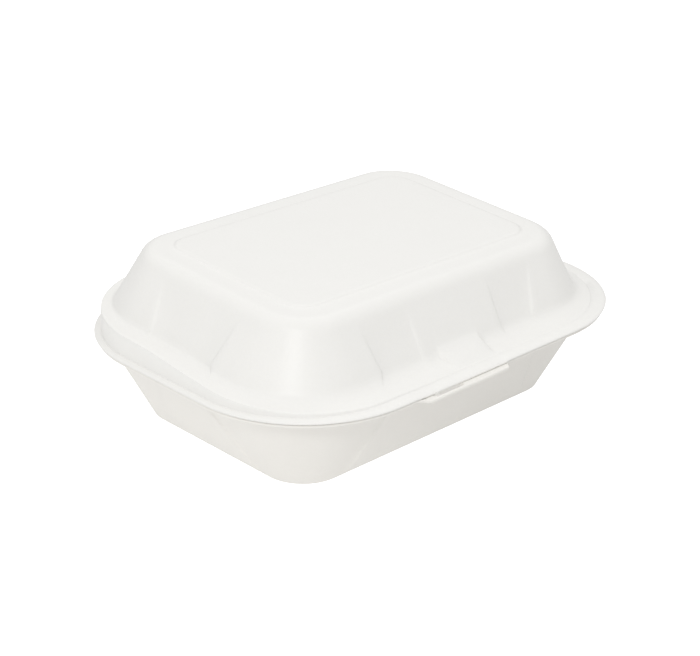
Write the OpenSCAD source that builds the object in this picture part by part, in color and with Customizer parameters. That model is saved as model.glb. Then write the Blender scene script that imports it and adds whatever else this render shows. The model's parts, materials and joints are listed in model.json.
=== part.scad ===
// Hinged takeaway clamshell: a tray and a lid moulded from one sheet.
// X runs along the rim, the latch faces -Y and the hinge crease lies at +Y.
// The origin is the middle of the face that the tray stands on.

/* [Rim] */
// Length of the lid flange, end to end
rim_length = 183; // [170:1:200]
// Width of the lid flange, front to back
rim_width = 139.4; // [130:0.2:150]
// Corner radius of the lid flange
rim_radius = 47; // [43:1:48]
// Thickness of the pressed flanges
rim_thick = 1.1; // [0.8:0.1:1.5]
// Distance that the flanges stand forward of the standing face
rim_forward = 3.5; // [2:0.5:5]
// Gap between the two flanges when the lid is shut
rim_gap = 0.6; // [0.4:0.1:1]

/* [Sheet] */
// Thickness of the sheet in the walls, the floor and the top
sheet = 1.6; // [1.2:0.1:2]

/* [Tray] */
// Height of the tray to the top of its flange
tray_height = 35.4; // [30:0.2:42]
// Distance that the tray flange stops short of the lid flange
tray_short = 0.8; // [0:0.2:1.2]
// Inset of the foot of the end walls from the rim
base_end_inset = 25.1; // [24:0.1:27]
// Inset of the foot of the long walls from the rim
base_side_inset = 23.1; // [22:0.1:25]
// Corner radius at the foot of the walls
base_radius = 16.5; // [13:0.5:18]
// Rounding of the edge round the standing face
base_round = 1.4; // [1:0.2:2]
// Inset of the end walls under the flange
tray_end_inset = 8; // [7:0.5:10]
// Inset of the long walls under the flange
tray_side_inset = 9.5; // [8:0.5:11]
// Corner radius of the walls under the flange
tray_wall_radius = 31; // [27:1:34]
// Distance that the top of the walls stands forward of the standing face
tray_forward = 2; // [1:0.2:3]
// Height of the curve between the walls and the flange
tray_neck = 1.8; // [1.2:0.2:2.4]
// Distance that the wall panels stand proud of the corners
tray_panel_proud = 0.7; // [0.3:0.1:1.2]
// Width of a corner beside the wall panels, at the base
tray_corner_low = 21.5; // [20:0.5:24]
// Width of a corner beside the wall panels, under the flange
tray_corner_high = 48; // [44:1:50]

/* [Lid] */
// Height of the lid above its flange, along the front
lid_height = 24.2; // [21:0.2:30]
// Rise of the lid from its front edge to the hinge
lid_rise = 6.8; // [3:0.2:9]
// Rise of the lid from its right end to its left end
lid_lean = 2.4; // [0:0.2:3]
// Distance that the body of the lid stands forward of the standing face
lid_forward = 1.4; // [0:0.2:3]
// Width of the flat band that lies over the tray flange
lip_width = 4.2; // [3.6:0.2:5]
// Height of the step up from the flat band, along the front
lip_step = 0.9; // [0.6:0.1:1.4]
// Inset of the lid walls at their foot
lid_foot_inset = 12; // [11.5:0.5:13]
// Corner radius of the lid walls at their foot
lid_foot_radius = 31; // [28:1:33]
// Height of the curve between the lid walls and the ledge
lid_foot_curve = 2.6; // [1.8:0.2:3.4]
// Slope of the lid walls from upright, in degrees
lid_slope = 30; // [27:0.5:32]
// Corner radius of the lid walls at the shoulder
lid_wall_radius = 19.5; // [17:0.5:22]
// Radius of the shoulder between the walls and the top
shoulder = 6.5; // [4:0.5:7]
// Inset of the raised panel on top
panel_inset = 34; // [32:0.5:37]
// Corner radius of the raised panel on top
panel_radius = 8; // [5:1:12]
// Height of the raised panel above the top
panel_step = 0.9; // [0.5:0.1:1.5]
// Depth of the sunk panels in the lid walls
lid_panel_depth = 0.9; // [0.4:0.1:1.4]
// Width of a corner beside the wall panels, at the foot
lid_corner_low = 41.5; // [38:0.5:42.5]
// Width of a corner beside the wall panels, at the shoulder
lid_corner_high = 27; // [24:0.5:29]
// Half width of the plain middle of the long lid walls
lid_middle = 20; // [18:0.5:23]

/* [Latch] */
// Length of the tray tab to the left of the middle
tab_left = 34; // [29:0.5:36]
// Length of the tray tab to the right of the middle
tab_right = 7; // [6:0.5:12]
// Distance that the tab stands out from the lid flange
tab_out = 2.6; // [2.4:0.1:4]
// Distance from the left end of the tab to the slot
slot_start = 4.2; // [3:0.2:7]
// Length of the slot in the tab
slot_length = 14.4; // [11:0.2:18]
// Width of the slot in the tab
slot_width = 3; // [2.4:0.1:3.4]
// Distance that the slot reaches out beyond the lid flange
slot_out = 1.5; // [1.2:0.1:1.7]
// Distance from the left end of the slot to the tongue of the lid
tongue_start = 1.4; // [0.8:0.1:3]
// Length of the tongue along the slot
tongue_length = 1.8; // [1.2:0.1:6]
// Clearance between the tongue and the inner side of the slot
tongue_back = 0.3; // [0.2:0.1:0.5]
// Thickness of the tongue
tongue_thick = 1.6; // [1:0.1:1.8]
// Length of the tongue below the tray flange
tongue_drop = 1.6; // [0.8:0.2:3]
// Length of the latch pocket to the left of the middle
pocket_left = 12.5; // [10:0.5:15]
// Length of the latch pocket to the right of the middle
pocket_right = 7.5; // [5:0.5:10]
// Distance that the pocket stands out over the flange of the lid
pocket_out = 4; // [2:0.2:4]

/* [Hinge] */
// Distance from the lid flange to the hinge crease
hinge_out = 1.6; // [1:0.1:2.5]
// Gap across the crease, half of it on each side
hinge_gap = 0.4; // [0.2:0.1:0.6]

/* [Quality] */
// Straight pieces in each rounded corner
corner_steps = 10; // [6:1:14]

/* [Hidden] */
sheet_white = [0.95, 0.945, 0.92];
// Half the width of a crease line beside a wall panel
crease = 1.1;
// Half the length of the slopes at the ends of the tab and the pocket
end_run = 0.8;
// Least length of straight side beyond the outermost crease
side_spare = 1;
// Rounding of the flange edges
edge_round = 0.3;
// Share of a tray wall's height over which its panels fade out
fade_part = 0.1;
// Shares of the lid wall's height where its panels start to fade out and end
lid_fade_low = 0.4;
lid_fade_high = 0.9;
// Length that a cutting shape runs past the sheet on each side
cut = 2;
flange_low = tray_height - rim_thick;
lid_low = tray_height + rim_gap;
lip_top = lid_low + rim_thick;
lid_ledge = lip_top + lip_step;
lid_top = lip_top + lid_height;
rim_front = -rim_width / 2 - rim_forward;
slot_front = rim_front - slot_out;
hinge_reach = hinge_out - hinge_gap / 2;
lid_foot = lid_ledge + lid_foot_curve;
lid_flat = lid_top - panel_step;
lid_wall_top = lid_flat - shoulder * (1 - sin(lid_slope));
lid_wall_inset = lid_foot_inset + (lid_wall_top - lid_foot) * tan(lid_slope);

// A station of a profile holds these values in this order
END = 0;
SIDE = 1;
HEIGHT = 2;
RADIUS = 3;
FORWARD = 4;
TILT = 5;
RELIEF = 6;
THICK = 7;
CORNER = 8;
OUT = 9;

function blend(a, b, t) = a + (b - a) * t;
function fade(t) = min(1, t / fade_part, (1 - t) / fade_part);
function turned(list) = [for (k = [len(list) - 1 : -1 : 0]) list[k]];

// Half length and half width of the ring at a station
function half_long(s) = rim_length / 2 - s[END];
function half_wide(s) = rim_width / 2 - s[SIDE];
// Place of the crease beside the corners, kept on the straight part of the side
function crease_x(s) = half_long(s) - max(s[CORNER], s[RADIUS] + side_spare + crease);
function crease_y(s) = half_wide(s) - max(s[CORNER], s[RADIUS] + side_spare + crease);

function corner_at(s, from) =
    let (sx = cos(from + 45) > 0 ? 1 : -1)
    let (sy = sin(from + 45) > 0 ? 1 : -1)
    let (x = sx * (half_long(s) - s[RADIUS]))
    let (y = sy * (half_wide(s) - s[RADIUS]))
    [for (k = [0 : corner_steps])
        let (a = from + 90 * k / corner_steps)
        [x + s[RADIUS] * cos(a), y + s[RADIUS] * sin(a)]];

// Outline of a ring: four round corners, and marks [place, distance outwards] along the sides
function outline(s, front, back, ends) =
    let (x = half_long(s))
    let (y = half_wide(s))
    concat(
        corner_at(s, 0),
        [for (m = turned(back)) [m[0], y + m[1]]],
        corner_at(s, 90),
        [for (m = turned(ends)) [-x - m[1], m[0]]],
        corner_at(s, 180),
        [for (m = front) [m[0], -y - m[1]]],
        corner_at(s, 270),
        [for (m = ends) [x + m[1], m[0]]]);

// A ring rises towards the hinge and the left end where its station is tilted
function ring(s, front, back, ends) =
    [for (p = outline(s, front, back, ends))
        let (y = p[1] - s[FORWARD])
        let (rise = lid_rise * (y - rim_front) / rim_width - lid_lean * p[0] / rim_length)
        [p[0], y, s[HEIGHT] + s[TILT] * rise]];

// The other face of the sheet: each station moved along the normal of the profile
function other_face(list) =
    [for (k = [0 : len(list) - 1])
        let (p = list[max(k - 1, 0)])
        let (q = list[min(k + 1, len(list) - 1)])
        let (s = list[k])
        let (run = (q[END] + q[SIDE] - p[END] - p[SIDE]) / 2)
        let (rise = q[HEIGHT] - p[HEIGHT])
        let (in = s[THICK] * rise / norm([run, rise]))
        let (down = s[THICK] * run / norm([run, rise]))
        concat([s[END] + in, s[SIDE] + in, s[HEIGHT] - down, s[RADIUS] - in],
            [for (j = [FORWARD : OUT]) s[j]])];

// A closed skin through rings of equally many points, with a flat cap on each end
module skin(rings) {
    n = len(rings[0]);
    last = len(rings) - 1;
    points = [for (r = rings) each r];
    sides = [for (k = [0 : last - 1], j = [0 : n - 1])
        let (a = k * n + j)
        let (b = k * n + (j + 1) % n)
        each [[a, a + n, b + n], [a, b + n, b]]];
    low_cap = [[for (j = [0 : n - 1]) j]];
    high_cap = [[for (j = [n - 1 : -1 : 0]) last * n + j]];
    polyhedron(points, concat(low_cap, sides, high_cap), convexity = 8);
}

// Tray

function tray_foot(in, height) =
    [base_end_inset + in, base_side_inset + in, height, base_radius - in, 0, 0, 0, sheet, tray_corner_low, 0];
// Station on the straight part of the walls, t from 0 at the foot to 1 under the flange
function tray_wall(t) =
    [blend(base_end_inset, tray_end_inset, t), blend(base_side_inset, tray_side_inset, t),
        blend(base_round, flange_low - tray_neck, t), blend(base_radius, tray_wall_radius, t),
        tray_forward * t, 0, fade(t), sheet, blend(tray_corner_low, tray_corner_high, t), 0];
// Station between the walls and the flange, t from 0 at the walls to 1 at the edge of the flange
function tray_flange(t, height, thick) =
    [blend(tray_end_inset, tray_short, t), blend(tray_side_inset, tray_short, t), height,
        blend(tray_wall_radius, rim_radius - tray_short, t), blend(tray_forward, rim_forward, t), 0, 0, thick,
        tray_corner_high, 0];
function tray_edge(in, height) =
    [tray_short + in, tray_short + in, height, rim_radius - tray_short - in, rim_forward, 0, 0, rim_thick,
        tray_corner_high, 1];
tray_outside = [
    tray_foot(base_round, 0),
    tray_foot(base_round / 3, base_round / 3),
    tray_wall(0),
    tray_wall(fade_part),
    tray_wall(1 - fade_part),
    tray_wall(1),
    tray_flange(0.15, flange_low - tray_neck / 3, sheet),
    tray_flange(0.45, flange_low, rim_thick),
];
tray_rim = [
    tray_edge(edge_round, flange_low),
    tray_edge(0, flange_low + edge_round),
    tray_edge(0, tray_height - edge_round),
    tray_edge(edge_round, tray_height),
];
tray_stations = concat(tray_outside, tray_rim, turned(other_face(tray_outside)));

// The tab keeps clear of the corner, and the slot and the tongue follow it
tab_low = max(-tab_left, 4 * crease - crease_x(tray_edge(0, 0)));
slot_low = tab_low + slot_start;
slot_high = slot_low + slot_length;

function tray_front(s) =
    let (x = crease_x(s))
    let (low = max(tab_low, 4 * crease - x))
    let (proud = s[RELIEF] * tray_panel_proud)
    let (tab = s[OUT] * (tab_out + tray_short))
    [[-x - crease, 0], [-x + crease, proud], [low - end_run, proud], [low + end_run, proud + tab],
        [tab_right - end_run, proud + tab], [tab_right + end_run, proud], [x - crease, proud], [x + crease, 0]];
function tray_back(s) =
    let (x = crease_x(s))
    let (out = s[RELIEF] * tray_panel_proud + s[OUT] * (hinge_reach + tray_short))
    [[-x - crease, 0], [-x + crease, out], [x - crease, out], [x + crease, 0]];
function tray_ends(s) =
    let (y = crease_y(s))
    let (proud = s[RELIEF] * tray_panel_proud)
    [[-y - crease, 0], [-y + crease, proud], [y - crease, proud], [y + crease, 0]];

module tray_slot() {
    translate([slot_low, slot_front, flange_low - cut])
        cube([slot_length, slot_width, rim_thick + 2 * cut]);
}

module tray() {
    color(sheet_white)
        difference() {
            skin([for (s = tray_stations) ring(s, tray_front(s), tray_back(s), tray_ends(s))]);
            tray_slot();
        }
}

// Lid

function lid_edge(in, height) =
    [in, in, height, rim_radius - in, rim_forward, 0, 0, rim_thick, lid_corner_low, 1];
// Station between the flat band and the walls, t from 0 at the band to 1 at the foot of the walls
function lid_flange(t, height, tilt, relief, thick, out) =
    [blend(lip_width, lid_foot_inset, t), blend(lip_width, lid_foot_inset, t), height,
        blend(rim_radius - lip_width, lid_foot_radius, t), blend(rim_forward, lid_forward, t), tilt, relief, thick,
        lid_corner_low, out];
// Depth of the wall panels, from all of it along the foot to nothing under the shoulder
function lid_relief(t) = max(0, min(1, (lid_fade_high - t) / (lid_fade_high - lid_fade_low)));
// Station on the straight part of the walls, t from 0 at the foot to 1 at the shoulder
function lid_wall(t, out) =
    [blend(lid_foot_inset, lid_wall_inset, t), blend(lid_foot_inset, lid_wall_inset, t),
        blend(lid_foot, lid_wall_top, t), blend(lid_foot_radius, lid_wall_radius, t), lid_forward, 1, lid_relief(t),
        sheet, blend(lid_corner_low, lid_corner_high, t), out];
// Station on the top, inside the walls
function lid_cover(inset, height, radius) =
    [inset, inset, height, radius, lid_forward, 1, 0, sheet, lid_corner_high, 0];
// Station on the shoulder, a from the slope of the walls to 90 on the top
function lid_turn(a) =
    let (in = shoulder * (cos(lid_slope) - cos(a)))
    lid_cover(lid_wall_inset + in, lid_flat - shoulder * (1 - sin(a)), lid_wall_radius - in);
function lid_panel(in, drop) = lid_cover(panel_inset + in, lid_top - drop, panel_radius - in);
lid_outside = [
    lid_flange(0, lip_top, 0, 0, rim_thick, 0),
    lid_flange(0.06, lip_top + lip_step * 0.15, 0.1, 0, rim_thick, 0),
    lid_flange(0.12, lip_top + lip_step * 0.8, 0.9, 0, rim_thick, 0),
    lid_flange(0.2, lid_ledge, 1, 0, rim_thick, 0.1),
    lid_flange(0.6, lid_ledge + lid_foot_curve * 0.14, 1, 0.3, sheet, 0.8),
    lid_flange(0.86, lid_ledge + lid_foot_curve * 0.45, 1, 1, sheet, 0.9),
    lid_wall(0, 0.35),
    lid_wall(0.1, 0),
    lid_wall(lid_fade_low, 0),
    lid_wall(lid_fade_high, 0),
    lid_turn(lid_slope),
    lid_turn(48),
    lid_turn(68),
    lid_turn(85),
    lid_panel(-panel_step, panel_step * 0.95),
    lid_panel(0, panel_step * 0.15),
    lid_panel(panel_step, 0),
];
lid_rim = [
    lid_edge(edge_round, lid_low),
    lid_edge(0, lid_low + edge_round),
    lid_edge(0, lip_top - edge_round),
    lid_edge(edge_round, lip_top),
];
lid_stations = concat(turned(other_face(lid_outside)), lid_rim, lid_outside);

function lid_front(s) =
    let (x = crease_x(s))
    let (sunk = -s[RELIEF] * lid_panel_depth)
    let (out = s[END] < lip_width ? 0 : s[OUT] * pocket_out)
    [[-x - crease, 0], [-x + crease, sunk], [-lid_middle - crease, sunk], [-lid_middle + crease, 0],
        [-pocket_left - end_run, 0], [-pocket_left + end_run, out],
        [pocket_right - end_run, out], [pocket_right + end_run, 0],
        [lid_middle - crease, 0], [lid_middle + crease, sunk], [x - crease, sunk], [x + crease, 0]];
function lid_back(s) =
    let (x = crease_x(s))
    let (sunk = -s[RELIEF] * lid_panel_depth)
    let (out = s[END] < lip_width ? s[OUT] * hinge_reach : 0)
    [[-x - crease, 0], [-x + crease, sunk + out], [-lid_middle - crease, sunk + out], [-lid_middle + crease, out],
        [lid_middle - crease, out], [lid_middle + crease, sunk + out], [x - crease, sunk + out], [x + crease, 0]];
function lid_ends(s) =
    let (y = crease_y(s))
    let (sunk = -s[RELIEF] * lid_panel_depth)
    [[-y - crease, 0], [-y + crease, sunk], [y - crease, sunk], [y + crease, 0]];

// The tongue hangs from the flat band and drops through the slot in the tray tab
module lid_tongue() {
    inner = slot_front + slot_width - tongue_back;
    translate([slot_low + tongue_start, inner - tongue_thick, flange_low - tongue_drop])
        cube([tongue_length, tongue_thick, lip_top - edge_round - flange_low + tongue_drop]);
}

module lid() {
    color(sheet_white) {
        skin([for (s = lid_stations) ring(s, lid_front(s), lid_back(s), lid_ends(s))]);
        lid_tongue();
    }
}

tray();
lid();
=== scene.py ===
"""Looks of a hinged takeaway clamshell: two moulded shells, the fold of the hinge, and a bright studio."""
import json
import math
from collections import namedtuple

import bmesh
import bpy
from bpy.props import FloatProperty, FloatVectorProperty, IntProperty, PointerProperty
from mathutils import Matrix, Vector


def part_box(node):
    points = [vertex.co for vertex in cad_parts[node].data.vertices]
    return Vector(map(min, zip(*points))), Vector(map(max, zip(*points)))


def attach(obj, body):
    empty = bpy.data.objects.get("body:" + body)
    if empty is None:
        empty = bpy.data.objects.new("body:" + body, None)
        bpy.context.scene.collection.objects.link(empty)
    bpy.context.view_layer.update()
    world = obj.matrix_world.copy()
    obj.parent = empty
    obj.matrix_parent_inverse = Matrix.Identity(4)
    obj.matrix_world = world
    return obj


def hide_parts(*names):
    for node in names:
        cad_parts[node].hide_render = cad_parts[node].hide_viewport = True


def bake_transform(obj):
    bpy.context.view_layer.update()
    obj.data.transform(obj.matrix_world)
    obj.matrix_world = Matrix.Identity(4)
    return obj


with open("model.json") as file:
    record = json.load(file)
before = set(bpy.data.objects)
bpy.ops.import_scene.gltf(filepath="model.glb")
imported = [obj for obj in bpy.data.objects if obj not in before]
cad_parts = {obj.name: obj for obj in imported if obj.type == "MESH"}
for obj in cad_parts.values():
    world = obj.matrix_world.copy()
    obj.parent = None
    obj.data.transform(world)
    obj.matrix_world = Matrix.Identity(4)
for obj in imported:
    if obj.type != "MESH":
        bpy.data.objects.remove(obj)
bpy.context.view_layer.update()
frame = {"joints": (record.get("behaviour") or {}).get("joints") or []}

bl_info = {
    "name": "Takeaway clamshell",
    "version": (1, 0, 0),
    "blender": (4, 5, 0),
    "location": "View3D > Sidebar > Clamshell",
    "description": "Moulds the tray, the lid and the hinge fold of a takeaway clamshell and sets its stage",
    "category": "Add Mesh",
}

MM = 0.001
LID_LOW, LID_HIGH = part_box("lid")
CREASE = frame["joints"][0]["pos_m"]
# One ring of a shell's profile, with the shares that it takes of the tilt, the wall panels, the latch and the swell
Station = namedtuple("Station", "end side height radius forward tilt relief thick corner out aside ledge",
                     defaults=(0, 0))

# Rounds of corner cutting on each profile, and the angle above which an edge stays sharp in the shading
PASSES, SHARP = 2, math.radians(35)
# Foot of the tray: distance inwards and height of each station, in foot roundings
TRAY_FOOT = ((2, 0), (1, 0), (1 / 3, 1 / 4))
# Walls of the tray: share in which the panels fade out at each end, and place of each station
TRAY_FADE = 0.1
TRAY_WALL = (0, TRAY_FADE / 2, TRAY_FADE, 0.5, 1 - TRAY_FADE, 1 - TRAY_FADE / 2, 1)
# Neck of the tray: places of its turn and its end on the way to the edge, and share of its height left at the turn
NECK_TURN, NECK_END, NECK_LEFT = 0.15, 0.45, 1 / 3
# Foot of the lid: place of each station on the way to the walls, and the shares that it takes
LidFoot = namedtuple("LidFoot", "along step curve tilt relief pocket swell")
LID_FOOT = (LidFoot(0, 0, 0, 0, 0, 0, 0), LidFoot(0.02, 0.1, 0, 0.05, 0, 0, 0),
            LidFoot(0.05, 0.85, 0, 0.95, 0, 0, 0.9), LidFoot(0.12, 1, 0, 1, 0, 0.1, 1),
            LidFoot(0.6, 1, 0.14, 1, 0.3, 0.8, 0.5), LidFoot(0.86, 1, 0.45, 1, 1, 0.9, 0.15))
# Walls of the lid: places between which the panels fade out, and place and share of the latch pocket of each station
LID_FADE = (0.35, 0.95)
LID_WALL = ((0, 0.35), (0.06, 0.12), (0.12, 0), (LID_FADE[0], 0), (0.65, 0), (LID_FADE[1], 0))
# Faces between the walls of the lid and its top
SHOULDER_STEPS = 6
# Raised panel of the lid: distance inwards and drop of each station, in heights of the panel
LID_PANEL = ((-3, 1), (-1, 0.95), (0, 0.15), (1, 0), (3, 0))
# Rounded edge of the flat band: shares of its width and its drop at the middle station
CROWN_MIDDLE = (0.5, 0.3)
# Ends of the dip in half widths of a crease, and run of the step there in heights of the step
DIP_RUN, STEP_RUN = 3, 1.5
# Least distance between the latch tab and a crease, in half widths of a crease
TAB_CLEAR = 4
# Rounding of the slot and of the tongue, as shares of their widths, and faces round each of their edges
SLOT_ROUND, TONGUE_ROUND, BLOCK_STEPS = 0.4, 0.3, 6
# Faces round the hinge fold and along it
FOLD_STEPS, FOLD_PIECES = 16, 24
# Detail of the grain and of the mottle, and their shares in the texture
GRAIN_DETAIL, MOTTLE_DETAIL, GRAIN_SHARE, MOTTLE_SHARE = 3.0, 4.0, 0.6, 0.4
# Floor: its size, its depth below the tray, its colour and its roughness
FLOOR_SIZE, FLOOR_DROP, FLOOR_COLOUR, FLOOR_ROUGHNESS = 12.0, 0.0002, (0.35, 0.35, 0.345, 1), 0.9
# Heights between which the surround goes from the strength of the horizon to that of the sky
SKY_BAND = (0.2, 0.5)
# Width of the camera's sensor in millimetres, and the nearest distance that it sees
SENSOR, CLIP_START = 36.0, 0.01


def length(name, description, millimetres):
    """A length property, given in millimetres."""
    return FloatProperty(name=name, description=description, default=millimetres * MM, unit="LENGTH", precision=5)


class RimSizes(bpy.types.PropertyGroup):
    """Sizes that the tray and the lid share."""

    long: FloatProperty(name="Length", description="Length of the lid flange", unit="LENGTH",
                        default=LID_HIGH.x - LID_LOW.x)
    wide: length("Width", "Width of the lid flange, front to back", 139.4)
    radius: length("Corner radius", "Corner radius of the lid flange", 47)
    thick: length("Thickness", "Thickness of the pressed flanges", 1.1)
    forward: length("Forward", "Distance that the flanges stand forward of the standing face", 3.5)
    gap: length("Gap", "Gap between the two flanges when the lid is shut", 0.6)
    edge: length("Edge rounding", "Rounding of the flange edges", 0.35)
    sheet: length("Sheet", "Thickness of the sheet in the walls", 1.6)
    crease: length("Crease", "Half the width of a crease beside a wall panel", 0.85)
    spare: length("Spare", "Least straight length beyond the outermost crease", 1)
    web: length("Web", "Thickness of the hinge fold at its crest", 0.4)
    root: length("Root", "Distance that the hinge fold reaches into the flanges", 0.8)
    root_skin: length("Root skin", "Depth of the ends of the hinge fold below the faces of the flanges", 0.3)
    corner_steps: IntProperty(name="Corner steps", description="Faces round each corner", default=22)
    side_steps: IntProperty(name="Side steps", description="Faces between two marks along a side", default=4)


class TraySizes(bpy.types.PropertyGroup):
    """Sizes of the tray."""

    height: length("Height", "Height of the tray to the top of its flange", 35.4)
    short: length("Short", "Distance that the tray flange stops short of the lid flange", 0.8)
    base_end: length("Foot inset, ends", "Inset of the foot of the end walls", 25.1)
    base_side: length("Foot inset, sides", "Inset of the foot of the long walls", 23.1)
    base_radius: length("Foot radius", "Corner radius at the foot of the walls", 16.5)
    base_round: length("Foot rounding", "Rounding of the edge round the standing face", 1.4)
    wall_end: length("Wall inset, ends", "Inset of the end walls under the flange", 8)
    wall_side: length("Wall inset, sides", "Inset of the long walls under the flange", 9.5)
    wall_radius: length("Wall radius", "Corner radius of the walls under the flange", 31)
    forward: length("Forward", "Distance that the top of the walls stands forward", 2)
    neck: length("Neck", "Height of the curve between the walls and the flange", 1.8)
    panel: length("Panel", "Distance that the wall panels stand proud of the corners", 0.7)
    corner_low: length("Corner, low", "Width of a corner beside the wall panels, at the base", 21.5)
    corner_high: length("Corner, high", "Width of a corner beside the wall panels, under the flange", 48)
    tab_left: length("Tab, left", "Length of the latch tab to the left of the middle", 34)
    tab_right: length("Tab, right", "Length of the latch tab to the right of the middle", 7)
    tab_out: length("Tab, out", "Distance that the tab stands out from the lid flange", 2.6)
    tab_run: length("Tab ends", "Half the length of the sloped ends of the tab", 1.6)
    slot_low: length("Slot, left", "Left end of the slot in the tab", -29.8)
    slot_high: length("Slot, right", "Right end of the slot in the tab", -15.4)
    slot_wide: length("Slot, width", "Width of the slot in the tab", 3)
    slot_out: length("Slot, out", "Distance that the slot reaches beyond the lid flange", 1.5)


class LidSizes(bpy.types.PropertyGroup):
    """Sizes of the lid."""

    height: length("Height", "Height of the lid above its flange, along the front", 24.2)
    rise: length("Rise", "Rise of the lid from its front edge to the hinge", 6.8)
    lean: length("Lean", "Rise of the lid from its right end to its left end", 2.4)
    forward: length("Forward", "Distance that the body of the lid stands forward", 1.4)
    lip: length("Lip", "Width of the flat band over the tray flange", 4.2)
    aside: length("Aside", "Distance that the step stands to the left of the middle of the flange", 2.1)
    foot_aside: length("Foot aside", "Distance that the foot of the walls stands to the left", 1.4)
    bead: length("Bead", "Depth of the bead under the edge of the lid", 0.12)
    crown: length("Crown", "Drop of the flat band at its edge", 0.6)
    crown_wide: length("Crown, width", "Width of the rounded edge of the flat band", 1.9)
    step: length("Step", "Height of the foot curve above the flat band, along the front", 0.9)
    step_least: length("Step, least", "Height of the step up to the ledge, along the front", 0.35)
    step_slope: FloatProperty(name="Step, slope", description="Growth of the step with the rise of the lid",
                              default=0.3)
    step_curve: FloatProperty(name="Step, curve", description="Quickening of that growth, per metre", default=220)
    step_spare: length("Step, spare", "Most that the step may outgrow the rise of the lid", 1.3)
    foot_inset: length("Foot inset", "Inset of the walls at their foot", 12)
    foot_radius: length("Foot radius", "Corner radius of the walls at their foot", 31)
    foot_curve: length("Foot curve", "Height of the curve between the walls and the ledge", 2.6)
    slope: FloatProperty(name="Slope", description="Slope of the walls from upright", subtype="ANGLE",
                         default=math.radians(30))
    wall_radius: length("Wall radius", "Corner radius of the walls at the shoulder", 19.5)
    shoulder: length("Shoulder", "Radius of the shoulder between the walls and the top", 6.5)
    panel_inset: length("Panel inset", "Inset of the raised panel on top", 34)
    panel_radius: length("Panel radius", "Corner radius of the raised panel", 8)
    panel_step: length("Panel step", "Height of the raised panel", 0.7)
    panel: length("Wall panel", "Depth of the sunk panels in the walls", 0.9)
    corner_low: length("Corner, low", "Width of a corner beside the wall panels, at the foot", 41.5)
    corner_high: length("Corner, high", "Width of a corner beside the wall panels, at the shoulder", 27)
    middle: length("Middle", "Half width of the plain middle of the long walls", 20)
    pocket_left: length("Pocket, left", "Length of the latch pocket to the left of the middle", 12.5)
    pocket_right: length("Pocket, right", "Length of the latch pocket to the right of the middle", 7.5)
    pocket_run: length("Pocket ends", "Half the length of the sloped ends of the pocket", 1)
    pocket_out: length("Pocket, out", "Distance that the pocket stands out over the flange", 4)
    dip: length("Dip", "Depth of the dip in the edge above the latch tab", 0.4)
    dip_left: length("Dip, left", "Left end of the dip", -37)
    dip_plain: length("Dip, plain", "Left end of the part of the dip that has no step", -23)
    dip_right: length("Dip, right", "Right end of the dip", 9)
    dip_wide: length("Dip, width", "Width of the sloped flange in the dip", 8)
    tongue_start: length("Tongue, start", "Distance from the left end of the slot to the tongue", 1.4)
    tongue_long: length("Tongue, length", "Length of the tongue along the slot", 1.8)
    tongue_back: length("Tongue, back", "Clearance between the tongue and the inner side of the slot", 0.3)
    tongue_thick: length("Tongue, thickness", "Thickness of the tongue", 1.6)
    tongue_drop: length("Tongue, drop", "Length of the tongue below the tray flange", 1.6)


class SheetFinish(bpy.types.PropertyGroup):
    """Finish of the moulded sheet; the tray's colours carry painted warm shade."""

    lid_pale: FloatVectorProperty(name="Lid, pale", description="Colour of the lid", subtype="COLOR", size=4,
                                  default=(0.90, 0.892, 0.866, 1), min=0, max=1)
    lid_deep: FloatVectorProperty(name="Lid, deep", description="Colour of the lid in the dips of its grain",
                                  subtype="COLOR", size=4, default=(0.86, 0.851, 0.822, 1), min=0, max=1)
    # The tray's two colours are the sheet's colour made warmer and darker: painted warm shade on the tray
    tray_pale_painted_shade: FloatVectorProperty(name="Tray, pale", description="Colour of the tray", subtype="COLOR", size=4,
                                   default=(0.90, 0.880, 0.838, 1), min=0, max=1)
    tray_deep_painted_shade: FloatVectorProperty(name="Tray, deep", description="Colour of the tray in the dips of its grain",
                                   subtype="COLOR", size=4, default=(0.86, 0.838, 0.795, 1), min=0, max=1)
    roughness: FloatProperty(name="Roughness", description="Roughness of the sheet", default=0.4, min=0, max=1)
    grain: FloatProperty(name="Grain", description="Grains per metre of the fine texture", default=900)
    mottle: FloatProperty(name="Mottle", description="Patches per metre of the soft unevenness", default=90)
    relief: length("Relief", "Depth of the grain", 0.12)


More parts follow.
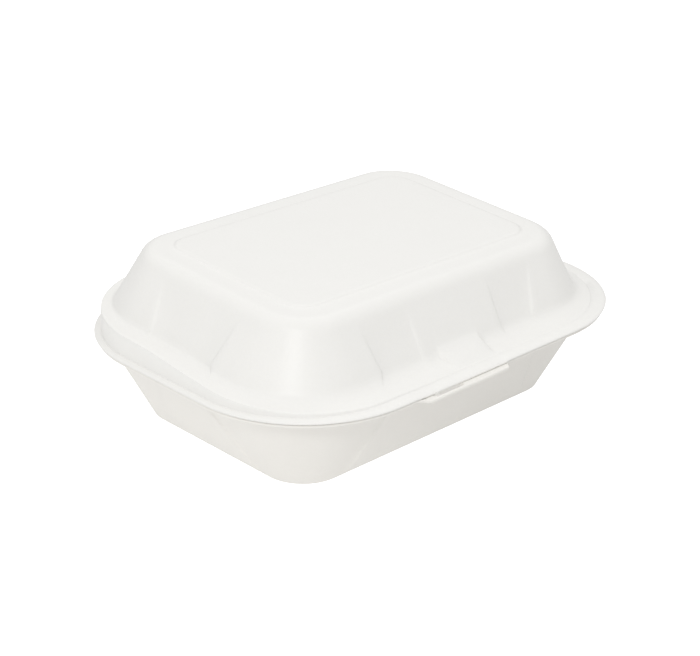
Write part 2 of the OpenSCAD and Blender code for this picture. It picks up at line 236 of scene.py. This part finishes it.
class StudioLook(bpy.types.PropertyGroup):
    """Camera, lights and floor."""

    azimuth: FloatProperty(name="Azimuth", description="Camera's turn round the object", subtype="ANGLE",
                           default=math.radians(-43.257))
    elevation: FloatProperty(name="Elevation", description="Camera's height above the horizon", subtype="ANGLE",
                             default=math.radians(24.343))
    place: FloatVectorProperty(name="Camera", description="Place of the camera", subtype="TRANSLATION",
                               default=(-0.4290, -0.4568, 0.3106))
    lens: FloatProperty(name="Lens", description="Focal length of the camera in millimetres", default=94.19)
    sky: FloatProperty(name="Sky", description="Strength of the soft surround overhead", default=0.965)
    horizon: FloatProperty(name="Horizon", description="Strength of the soft surround near the horizon", default=0.45)
    floor_white: FloatProperty(name="Floor white", description="Brightness of the floor in the picture", default=0.9)
    glow: FloatProperty(name="Floor glow", description="Light from the floor beside the tray", default=0.34)
    glow_even: FloatProperty(name="Even glow", description="Light from all of the floor", default=0.45)
    glow_reach: length("Glow reach", "Reach of the floor glow", 240)
    glow_place: FloatVectorProperty(name="Glow place", description="Middle of the floor glow", subtype="TRANSLATION",
                                    default=(-0.18, 0.0, 0))
    top: FloatProperty(name="Top lamp", description="Power of the lamp behind and above, in watts", default=0.26)
    top_size: length("Top lamp size", "Diameter of the lamp behind and above", 320)
    top_place: FloatVectorProperty(name="Top lamp place", description="Place of the lamp behind and above",
                                   subtype="TRANSLATION", default=(0.55, 0.36, 0.88))
    key: FloatProperty(name="Key lamp", description="Power of the lamp beside the camera, in watts", default=2.9)
    key_size: length("Key lamp size", "Diameter of the lamp beside the camera", 220)
    key_place: FloatVectorProperty(name="Key lamp place", description="Place of the lamp beside the camera",
                                   subtype="TRANSLATION", default=(-0.81, -0.70, 0.85))


def mix(a, b, t):
    """The number at a share of the way from one to another."""
    return a + (b - a) * t


def ease(t):
    """The share with a slow start and a slow end."""
    return t * t * (3 - 2 * t)


def within(t):
    """The number, kept between nought and one."""
    return max(0, min(1, t))


def fade(t, part):
    """One along most of a wall, falling to nothing within a part of it at each end."""
    return min(1.0, t / part, (1 - t) / part)


def softened(stations):
    """The profile with its corners cut, which rounds it wherever two stations lie close together."""
    for _ in range(PASSES):
        cut = [stations[0]]
        for s, q in zip(stations, stations[1:]):
            cut += [Station(*(mix(a, b, t) for a, b in zip(s, q))) for t in (0.25, 0.75)]
        stations = cut + [stations[-1]]
    return stations


def other_face(stations):
    """The other face of the sheet: each station moved along the normal of the profile."""
    moved = []
    for k, s in enumerate(stations):
        p, q = stations[max(k - 1, 0)], stations[min(k + 1, len(stations) - 1)]
        run = (q.end + q.side - p.end - p.side) / 2
        rise = q.height - p.height
        size = math.hypot(run, rise)
        inward = s.thick * rise / size
        moved.append(s._replace(end=s.end + inward, side=s.side + inward, height=s.height - s.thick * run / size,
                                radius=s.radius - inward))
    return moved


class Shell:
    """Rings of a moulded shell, worked out from the stations of its profile."""

    def __init__(self, rim, rise=0.0, lean=0.0, swell=None):
        self.rim, self.rise, self.lean, self.swell = rim, rise, lean, swell
        self.front = -rim.wide / 2 - rim.forward

    def half(self, s):
        """Half the length and half the width of the ring, without its marks."""
        return self.rim.long / 2 - s.end, self.rim.wide / 2 - s.side

    def creases(self, s):
        """Places of the creases beside the corners, on the straight parts of the sides."""
        kept = max(s.corner, s.radius + self.rim.spare + self.rim.crease)
        x, y = self.half(s)
        return x - kept, y - kept

    def panel(self, low, high, out, run=None, base=0, inner=()):
        """Marks of a part of a side that stands out between two places, with sloped ends."""
        run = run or self.rim.crease
        return [(low - run, base), (low + run, out), *inner, (high - run, out), (high + run, base)]

    def side(self, marks, straight):
        """Points of one side: marks (place, distance outwards) with smooth runs between them."""
        stops = [(-straight, 0.0), *marks, (straight, 0.0)]
        steps = self.rim.side_steps
        points = []
        for (x0, out0), (x1, out1) in zip(stops, stops[1:]):
            for k in range(1, steps + 1):
                points.append((mix(x0, x1, k / steps), mix(out0, out1, ease(k / steps))))
        return points[:-1]

    def corner(self, s, turn):
        """Points of the corner that starts at this turn round the ring, in degrees."""
        x, y = self.half(s)
        middle = math.radians(turn + 45)
        cx = math.copysign(x - s.radius, math.cos(middle))
        cy = math.copysign(y - s.radius, math.sin(middle))
        steps = self.rim.corner_steps
        angles = [math.radians(turn + 90 * k / steps) for k in range(steps + 1)]
        return [(cx + s.radius * math.cos(a), cy + s.radius * math.sin(a)) for a in angles]

    def ring(self, s, front, back, ends):
        """Points round one station, from the marks of its sides."""
        x, y = self.half(s)
        long, wide = x - s.radius, y - s.radius
        back_side = [(p, y + out) for p, out in reversed(self.side(back, long))]
        front_side = [(p, -y - out) for p, out in self.side(front, long)]
        left = [(-x - out, p) for p, out in reversed(self.side(ends, wide))]
        right = [(x + out, p) for p, out in self.side(ends, wide)]
        plan = (self.corner(s, 0) + back_side + self.corner(s, 90) + left + self.corner(s, 180) + front_side
                + self.corner(s, 270) + right)
        points = []
        for px, py in plan:
            px -= s.aside
            py -= s.forward
            lift = self.rise * (py - self.front) / self.rim.wide - self.lean * px / self.rim.long
            swell = s.ledge * self.swell(lift) if s.ledge else 0
            points.append((px, py, s.height + s.tilt * lift + swell))
        return points


def moulded(name, rings):
    """A closed skin: a circle laid out as the first ring, extruded from ring to ring and filled at both ends."""
    bpy.ops.object.select_all(action="DESELECT")
    bpy.ops.mesh.primitive_circle_add(vertices=len(rings[0]), radius=1.0, enter_editmode=True)
    piece = bpy.context.object
    piece.name = piece.data.name = name
    bpy.ops.mesh.select_mode(type="VERT")
    mesh = bmesh.from_edit_mesh(piece.data)
    order = mesh.verts.layers.int.new("order")
    for k, vert in enumerate(mesh.verts):
        vert[order] = k
        vert.co = rings[0][k]
    bpy.ops.mesh.select_all(action="SELECT")
    for ring in rings[1:]:
        bpy.ops.mesh.extrude_region()
        mesh = bmesh.from_edit_mesh(piece.data)
        order = mesh.verts.layers.int["order"]
        for vert in mesh.verts:
            if vert.select:
                vert.co = ring[vert[order]]
    bpy.ops.mesh.select_all(action="SELECT")
    bpy.ops.mesh.fill_holes(sides=0)
    mesh = bmesh.from_edit_mesh(piece.data)
    mesh.verts.layers.int.remove(mesh.verts.layers.int["order"])
    volume = mesh.calc_volume(signed=True)
    bmesh.update_edit_mesh(piece.data)
    if volume < 0:
        bpy.ops.mesh.flip_normals()
    bpy.ops.object.mode_set(mode="OBJECT")
    return piece


def rounded_block(name, low, high, rounding):
    """A block with rounded upright edges."""
    bpy.ops.object.select_all(action="DESELECT")
    centre = [(a + b) / 2 for a, b in zip(low, high)]
    bpy.ops.mesh.primitive_cube_add(size=1.0, location=centre, scale=[b - a for a, b in zip(low, high)])
    block = bpy.context.object
    block.name = name
    bpy.ops.object.transform_apply(location=True, rotation=True, scale=True)
    bpy.ops.object.mode_set(mode="EDIT")
    bpy.ops.mesh.select_mode(type="EDGE")
    mesh = bmesh.from_edit_mesh(block.data)
    for edge in mesh.edges:
        a, b = (vert.co for vert in edge.verts)
        edge.select_set(abs(a.z - b.z) > abs(high[2] - low[2]) / 2)
    bmesh.update_edit_mesh(block.data)
    bpy.ops.mesh.bevel(offset=rounding, segments=BLOCK_STEPS)
    bpy.ops.object.mode_set(mode="OBJECT")
    return block


def combined(piece, tool, operation):
    """The piece with the tool cut out of it or joined to it."""
    modifier = piece.modifiers.new(operation.lower(), "BOOLEAN")
    modifier.operation, modifier.object, modifier.solver = operation, tool, "EXACT"
    bpy.ops.object.select_all(action="DESELECT")
    bpy.context.view_layer.objects.active = piece
    piece.select_set(True)
    bpy.ops.object.modifier_apply(modifier=modifier.name)
    bpy.data.objects.remove(tool)
    if not piece.data.polygons:
        raise RuntimeError(f"{piece.name} came out empty")
    return piece


def finished(piece, material, bodies):
    """Smooth shading, the finish, and, for a piece of a single body, the body that it moves with."""
    bpy.ops.object.select_all(action="DESELECT")
    bpy.context.view_layer.objects.active = piece
    piece.select_set(True)
    bpy.ops.object.shade_smooth_by_angle(angle=SHARP)
    piece.data.materials.clear()
    piece.data.materials.append(material)
    if len(bodies) == 1:
        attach(piece, bodies[0])
        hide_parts(bodies[0])
    return piece


def sheet_grain():
    """Node group: the fine grain and the soft mottle of a moulded sheet."""
    group = bpy.data.node_groups.get("sheet_grain")
    if group:
        return group
    group = bpy.data.node_groups.new("sheet_grain", "ShaderNodeTree")
    for name, kind in (("Place", "NodeSocketVector"), ("Grain", "NodeSocketFloat"), ("Mottle", "NodeSocketFloat")):
        group.interface.new_socket(name=name, in_out="INPUT", socket_type=kind)
    for name in ("Shade", "Height"):
        group.interface.new_socket(name=name, in_out="OUTPUT", socket_type="NodeSocketFloat")
    nodes, links = group.nodes, group.links
    start, end = nodes.new("NodeGroupInput"), nodes.new("NodeGroupOutput")
    noises = {}
    for name, detail in (("Grain", GRAIN_DETAIL), ("Mottle", MOTTLE_DETAIL)):
        noise = nodes.new("ShaderNodeTexNoise")
        noise.inputs["Detail"].default_value = detail
        links.new(start.outputs["Place"], noise.inputs["Vector"])
        links.new(start.outputs[name], noise.inputs["Scale"])
        noises[name] = noise
    both = nodes.new("ShaderNodeMath")
    both.operation = "MULTIPLY_ADD"
    both.inputs[1].default_value = GRAIN_SHARE
    links.new(noises["Grain"].outputs["Fac"], both.inputs[0])
    soft = nodes.new("ShaderNodeMath")
    soft.operation = "MULTIPLY"
    soft.inputs[1].default_value = MOTTLE_SHARE
    links.new(noises["Mottle"].outputs["Fac"], soft.inputs[0])
    links.new(soft.outputs[0], both.inputs[2])
    links.new(both.outputs[0], end.inputs["Shade"])
    links.new(both.outputs[0], end.inputs["Height"])
    return group


def sheet_material(name, pale, deep, look):
    """Matt white sheet with a fine grain."""
    material = bpy.data.materials.new(name)
    material.use_nodes = True
    nodes, links = material.node_tree.nodes, material.node_tree.links
    shader = nodes["Principled BSDF"]
    shader.inputs["Roughness"].default_value = look.roughness
    place = nodes.new("ShaderNodeTexCoord")
    grain = nodes.new("ShaderNodeGroup")
    grain.node_tree = sheet_grain()
    grain.inputs["Grain"].default_value = look.grain
    grain.inputs["Mottle"].default_value = look.mottle
    links.new(place.outputs["Object"], grain.inputs["Place"])
    tint = nodes.new("ShaderNodeMix")
    tint.data_type = "RGBA"
    tint.inputs["A"].default_value = deep
    tint.inputs["B"].default_value = pale
    links.new(grain.outputs["Shade"], tint.inputs["Factor"])
    links.new(tint.outputs["Result"], shader.inputs["Base Color"])
    bump = nodes.new("ShaderNodeBump")
    bump.inputs["Strength"].default_value = 1.0
    bump.inputs["Distance"].default_value = look.relief
    links.new(grain.outputs["Height"], bump.inputs["Height"])
    links.new(bump.outputs["Normal"], shader.inputs["Normal"])
    return material


def floor_material(look):
    """White floor: a soft glow beside the left wall, and plain white to the camera."""
    material = bpy.data.materials.new("floor_paint")
    material.use_nodes = True
    nodes, links = material.node_tree.nodes, material.node_tree.links
    shader = nodes["Principled BSDF"]
    shader.inputs["Base Color"].default_value = FLOOR_COLOUR
    shader.inputs["Roughness"].default_value = FLOOR_ROUGHNESS
    shader.inputs["Specular IOR Level"].default_value = 0.0
    shader.inputs["Emission Strength"].default_value = 1.0
    place = nodes.new("ShaderNodeTexCoord")
    shift = nodes.new("ShaderNodeMapping")
    shift.vector_type = "TEXTURE"
    shift.inputs["Location"].default_value = look.glow_place
    shift.inputs["Scale"].default_value = [look.glow_reach] * 3
    links.new(place.outputs["Object"], shift.inputs["Vector"])
    patch = nodes.new("ShaderNodeTexGradient")
    patch.gradient_type = "SPHERICAL"
    links.new(shift.outputs["Vector"], patch.inputs["Vector"])
    glow = nodes.new("ShaderNodeMath")
    glow.operation = "MULTIPLY_ADD"
    glow.inputs[1].default_value = look.glow
    glow.inputs[2].default_value = look.glow_even
    links.new(patch.outputs["Fac"], glow.inputs[0])
    path = nodes.new("ShaderNodeLightPath")
    seen = nodes.new("ShaderNodeMath")
    seen.operation = "MULTIPLY"
    seen.inputs[1].default_value = look.floor_white
    links.new(path.outputs["Is Camera Ray"], seen.inputs[0])
    total = nodes.new("ShaderNodeMath")
    total.operation = "ADD"
    links.new(glow.outputs[0], total.inputs[0])
    links.new(seen.outputs[0], total.inputs[1])
    links.new(total.outputs[0], shader.inputs["Emission Color"])
    return material


class CLAMSHELL_OT_tray(bpy.types.Operator):
    """Mould the tray with its flange, latch tab and slot"""

    bl_idname = "clamshell.tray"
    bl_label = "Tray"

    def execute(self, context):
        rim, tray, look = context.scene.clam_rim, context.scene.clam_tray, context.scene.clam_finish
        shell = Shell(rim)
        low = tray.height - rim.thick

        def foot(inward, height):
            return Station(tray.base_end + inward, tray.base_side + inward, height, tray.base_radius - inward,
                           0, 0, 0, rim.sheet, tray.corner_low, 0)

        def wall(t):
            return Station(mix(tray.base_end, tray.wall_end, t), mix(tray.base_side, tray.wall_side, t),
                           mix(tray.base_round, low - tray.neck, t), mix(tray.base_radius, tray.wall_radius, t),
                           tray.forward * t, 0, fade(t, TRAY_FADE), rim.sheet,
                           mix(tray.corner_low, tray.corner_high, t), 0)

        def flange(t, height, thick):
            return Station(mix(tray.wall_end, tray.short, t), mix(tray.wall_side, tray.short, t), height,
                           mix(tray.wall_radius, rim.radius - tray.short, t), mix(tray.forward, rim.forward, t),
                           0, 0, thick, tray.corner_high, 0)

        def edge(inward, height):
            return Station(tray.short + inward, tray.short + inward, height, rim.radius - tray.short - inward,
                           rim.forward, 0, 0, rim.thick, tray.corner_high, 1)

        outside = [foot(inward * tray.base_round, up * tray.base_round) for inward, up in TRAY_FOOT]
        outside += [wall(t) for t in TRAY_WALL]
        outside += [flange(NECK_TURN, low - tray.neck * NECK_LEFT, rim.sheet), flange(NECK_END, low, rim.thick)]
        outside = softened(outside)
        lip = softened([edge(2 * rim.edge, low), edge(0, low), edge(0, tray.height),
                        edge(2 * rim.edge, tray.height)])
        stations = outside + lip + other_face(outside)[::-1]

        def front(s):
            x = shell.creases(s)[0]
            left = max(-tray.tab_left, TAB_CLEAR * rim.crease - x)
            proud = s.relief * tray.panel
            reach = proud + s.out * (tray.tab_out + tray.short)
            tab = shell.panel(left, tray.tab_right, reach, tray.tab_run, proud)
            return shell.panel(-x, x, proud, inner=tab)

        def back(s):
            x = shell.creases(s)[0]
            return shell.panel(-x, x, s.relief * tray.panel + s.out * tray.short)

        def ends(s):
            y = shell.creases(s)[1]
            return shell.panel(-y, y, s.relief * tray.panel)

        piece = moulded("tray_shell", [shell.ring(s, front(s), back(s), ends(s)) for s in stations])
        slot_front = shell.front - tray.slot_out
        cutter = rounded_block("slot_cutter", (tray.slot_low, slot_front, low - rim.sheet),
                               (tray.slot_high, slot_front + tray.slot_wide, tray.height + rim.sheet),
                               tray.slot_wide * SLOT_ROUND)
        combined(piece, cutter, "DIFFERENCE")
        # The tray's sheet takes the warmer colours, painted warm shade over the sheet's own grain
        finished(piece, sheet_material("tray_sheet_painted_shade", look.tray_pale_painted_shade, look.tray_deep_painted_shade, look), ["tray"])
        return {"FINISHED"}


class CLAMSHELL_OT_lid(bpy.types.Operator):
    """Mould the lid with its flange, step, panelled walls and raised top"""

    bl_idname = "clamshell.lid"
    bl_label = "Lid"

    def execute(self, context):
        rim, tray, lid = context.scene.clam_rim, context.scene.clam_tray, context.scene.clam_lid
        look = context.scene.clam_finish

        def swell(lift):
            """Difference between the step wanted at this rise of the lid and the plain one."""
            up = max(lift, 0)
            wanted = lid.step_least + up * (lid.step_slope + up * lid.step_curve)
            return min(wanted, lid.step + lift + lid.step_spare) - lid.step - lift

        shell = Shell(rim, lid.rise, lid.lean, swell)
        low = tray.height + rim.gap
        lip_top = low + rim.thick
        foot = lip_top + lid.step + lid.foot_curve
        top = lip_top + lid.height
        flat = top - lid.panel_step
        wall_top = flat - lid.shoulder * (1 - math.sin(lid.slope))
        wall_inset = lid.foot_inset + (wall_top - foot) * math.tan(lid.slope)

        def edge(inward, height):
            return Station(inward, inward, height, rim.radius - inward, rim.forward, 0, 0, rim.thick,
                           lid.corner_low, 0)

        def flange(row):
            inset = mix(lid.lip, lid.foot_inset, row.along)
            return Station(inset, inset, lip_top + row.step * lid.step + row.curve * lid.foot_curve,
                           mix(rim.radius - lid.lip, lid.foot_radius, row.along),
                           mix(rim.forward, lid.forward, row.along), row.tilt, row.relief,
                           rim.sheet if row.curve else rim.thick, lid.corner_low, row.pocket,
                           mix(lid.aside, lid.foot_aside, row.along), row.swell)

        def wall(t, pocket):
            inset = mix(lid.foot_inset, wall_inset, t)
            relief = within((LID_FADE[1] - t) / (LID_FADE[1] - LID_FADE[0]))
            return Station(inset, inset, mix(foot, wall_top, t), mix(lid.foot_radius, lid.wall_radius, t),
                           lid.forward, 1, relief, rim.sheet, mix(lid.corner_low, lid.corner_high, t), pocket,
                           mix(lid.foot_aside, 0, t))

        def cover(inset, height, radius):
            return Station(inset, inset, height, radius, lid.forward, 1, 0, rim.sheet, lid.corner_high, 0)

        def turn(t):
            a = mix(lid.slope, math.pi / 2, t)
            inward = lid.shoulder * (math.cos(lid.slope) - math.cos(a))
            return cover(wall_inset + inward, flat - lid.shoulder * (1 - math.sin(a)), lid.wall_radius - inward)

        def panel(inward, drop):
            return cover(lid.panel_inset + inward, top - drop, lid.panel_radius - inward)

        outside = [flange(row) for row in LID_FOOT] + [wall(t, pocket) for t, pocket in LID_WALL]
        outside += [turn(k / SHOULDER_STEPS) for k in range(SHOULDER_STEPS + 1)]
        outside += [panel(inward * lid.panel_step, drop * lid.panel_step) for inward, drop in LID_PANEL]
        outside = softened(outside)
        across, down = CROWN_MIDDLE
        lip = softened([edge(4 * rim.edge, low), edge(2 * rim.edge, low - lid.bead), edge(0, low - lid.bead),
                        edge(0, lip_top - lid.crown), edge(lid.crown_wide * across, lip_top - lid.crown * down),
                        edge(lid.crown_wide, lip_top)])
        stations = other_face(outside)[::-1] + lip + outside

        def front(s):
            x = shell.creases(s)[0]
            sunk = -s.relief * lid.panel
            pocket = shell.panel(s.aside - lid.pocket_left, s.aside + lid.pocket_right, s.out * lid.pocket_out,
                                 lid.pocket_run)
            return (shell.panel(-x, s.aside - lid.middle, sunk) + pocket
                    + shell.panel(s.aside + lid.middle, x, sunk))

        def back(s):
            x = shell.creases(s)[0]
            sunk = -s.relief * lid.panel
            return shell.panel(-x, -lid.middle, sunk) + shell.panel(lid.middle, x, sunk)

        def ends(s):
            y = shell.creases(s)[1]
            return shell.panel(-y, y, -s.relief * lid.panel)

        def dipped(point):
            """Flange above the latch tab: its step gives way to a slope, and its edge dips."""
            x, y, z = point
            inset = y - shell.front
            if inset > lid.dip_wide:
                return point
            t = inset / lid.dip_wide
            run = DIP_RUN * rim.crease
            right = within((lid.dip_right - x) / run)
            dip = lid.dip * (1 - t) * ease(right * within((x - lid.dip_left) / run))
            stepped = lid.step_least * ease(within((inset - lid.lip) / (STEP_RUN * lid.step)))
            plain = (lid.step_least * t - stepped) * ease(right * within((x - lid.dip_plain) / run))
            return x, y, z - dip + plain

        rings = [[dipped(point) for point in shell.ring(s, front(s), back(s), ends(s))] for s in stations]
        piece = moulded("lid_shell", rings)
        inner = shell.front - tray.slot_out + tray.slot_wide - lid.tongue_back
        start = tray.slot_low + lid.tongue_start
        bottom = tray.height - rim.thick - lid.tongue_drop
        tongue = rounded_block("tongue", (start, inner - lid.tongue_thick, bottom),
                               (start + lid.tongue_long, inner, lip_top - rim.edge - lid.dip),
                               lid.tongue_thick * TONGUE_ROUND)
        combined(piece, tongue, "UNION")
        finished(piece, sheet_material("lid_sheet", look.lid_pale, look.lid_deep, look), ["lid"])
        return {"FINISHED"}


class CLAMSHELL_OT_hinge_fold(bpy.types.Operator):
    """Fold the strip of sheet that joins the two flanges along the back"""

    bl_idname = "clamshell.hinge_fold"
    bl_label = "Hinge fold"

    def execute(self, context):
        rim, look = context.scene.clam_rim, context.scene.clam_finish
        outer = rim.thick + rim.gap / 2
        inner = rim.gap / 2
        half = rim.long / 2 - rim.radius - rim.spare - 2 * rim.crease
        centre_y = rim.wide / 2 - rim.forward
        centre_z = CREASE[2]
        turns = [math.radians(180 * k / FOLD_STEPS - 90) for k in range(FOLD_STEPS + 1)]

        def arc(radius, angles):
            """Points at the angles given, at a radius that may change with the angle."""
            return [(radius(a) * math.cos(a), radius(a) * math.sin(a)) for a in angles]

        def root(side):
            """The end of the sheet inside a flange, from its outer face to its inner one."""
            return [(-rim.root, side * (outer - rim.root_skin)), (-rim.root, side * (inner + rim.root_skin))]

        profile = (arc(lambda a: outer, turns) + root(1)
                   + arc(lambda a: mix(inner, outer - rim.web, math.cos(a) ** 2), turns[::-1]) + root(-1)[::-1])

        def section(x):
            return [(x, centre_y + out, centre_z + up) for out, up in profile]

        rings = [section(mix(-half, half, k / FOLD_PIECES)) for k in range(FOLD_PIECES + 1)]
        piece = moulded("hinge_fold", rings)
        finished(piece, sheet_material("hinge_sheet", look.lid_pale, look.lid_deep, look), ["tray", "lid"])
        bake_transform(piece)
        return {"FINISHED"}


class CLAMSHELL_OT_studio(bpy.types.Operator):
    """Set the floor, the soft light and the camera"""

    bl_idname = "clamshell.studio"
    bl_label = "Studio"

    def execute(self, context):
        scene, look = context.scene, context.scene.clam_studio
        bpy.ops.object.select_all(action="DESELECT")
        bpy.ops.mesh.primitive_plane_add(size=FLOOR_SIZE, location=(0, 0, -FLOOR_DROP))
        floor = context.object
        floor.name = "floor"
        floor.data.materials.append(floor_material(look))

        world = bpy.data.worlds.new("studio")
        world.use_nodes = True
        scene.world = world
        nodes, links = world.node_tree.nodes, world.node_tree.links
        toward = nodes.new("ShaderNodeTexCoord")
        parts = nodes.new("ShaderNodeSeparateXYZ")
        links.new(toward.outputs["Generated"], parts.inputs["Vector"])
        strength = nodes.new("ShaderNodeMapRange")
        strength.interpolation_type = "SMOOTHSTEP"
        for name, value in (("From Min", SKY_BAND[0]), ("From Max", SKY_BAND[1]),
                            ("To Min", look.horizon), ("To Max", look.sky)):
            strength.inputs[name].default_value = value
        links.new(parts.outputs["Z"], strength.inputs["Value"])
        path = nodes.new("ShaderNodeLightPath")
        seen = nodes.new("ShaderNodeMath")
        seen.operation = "MAXIMUM"
        links.new(strength.outputs["Result"], seen.inputs[0])
        links.new(path.outputs["Is Camera Ray"], seen.inputs[1])
        links.new(seen.outputs[0], nodes["Background"].inputs["Strength"])
        nodes["Background"].inputs["Color"].default_value = (1, 1, 1, 1)

        for name, place, size, power in (("top_lamp", look.top_place, look.top_size, look.top),
                                         ("key_lamp", look.key_place, look.key_size, look.key)):
            bpy.ops.object.light_add(type="AREA", location=place)
            lamp = context.object
            lamp.name = name
            lamp.data.energy = power
            lamp.data.shape = "DISK"
            lamp.data.size = size
            lamp.rotation_euler = lamp.location.to_track_quat("Z", "Y").to_euler()

        bpy.ops.object.camera_add(location=look.place,
                                  rotation=(math.pi / 2 - look.elevation, 0, look.azimuth))
        camera = context.object
        camera.name = "camera"
        camera.data.sensor_width = SENSOR
        camera.data.lens = look.lens
        camera.data.clip_start = CLIP_START
        scene.camera = camera
        scene.view_settings.view_transform = "Standard"
        return {"FINISHED"}


class CLAMSHELL_PT_panel(bpy.types.Panel):
    """The pieces of the clamshell"""

    bl_idname = "CLAMSHELL_PT_panel"
    bl_label = "Clamshell"
    bl_space_type = "VIEW_3D"
    bl_region_type = "UI"
    bl_category = "Clamshell"

    def draw(self, context):
        for operator in OPERATORS:
            self.layout.operator(operator.bl_idname)


GROUPS = {"clam_rim": RimSizes, "clam_tray": TraySizes, "clam_lid": LidSizes, "clam_finish": SheetFinish,
          "clam_studio": StudioLook}
OPERATORS = (CLAMSHELL_OT_tray, CLAMSHELL_OT_lid, CLAMSHELL_OT_hinge_fold, CLAMSHELL_OT_studio)


def register():
    for name, group in GROUPS.items():
        bpy.utils.register_class(group)
        setattr(bpy.types.Scene, name, PointerProperty(type=group))
    for cls in (*OPERATORS, CLAMSHELL_PT_panel):
        bpy.utils.register_class(cls)


def unregister():
    for cls in (CLAMSHELL_PT_panel, *reversed(OPERATORS)):
        bpy.utils.unregister_class(cls)
    for name, group in reversed(GROUPS.items()):
        delattr(bpy.types.Scene, name)
        bpy.utils.unregister_class(group)


def main():
    register()
    bpy.ops.clamshell.tray()
    bpy.ops.clamshell.lid()
    bpy.ops.clamshell.hinge_fold()
    bpy.ops.clamshell.studio()


if __name__ == "__main__":
    main()
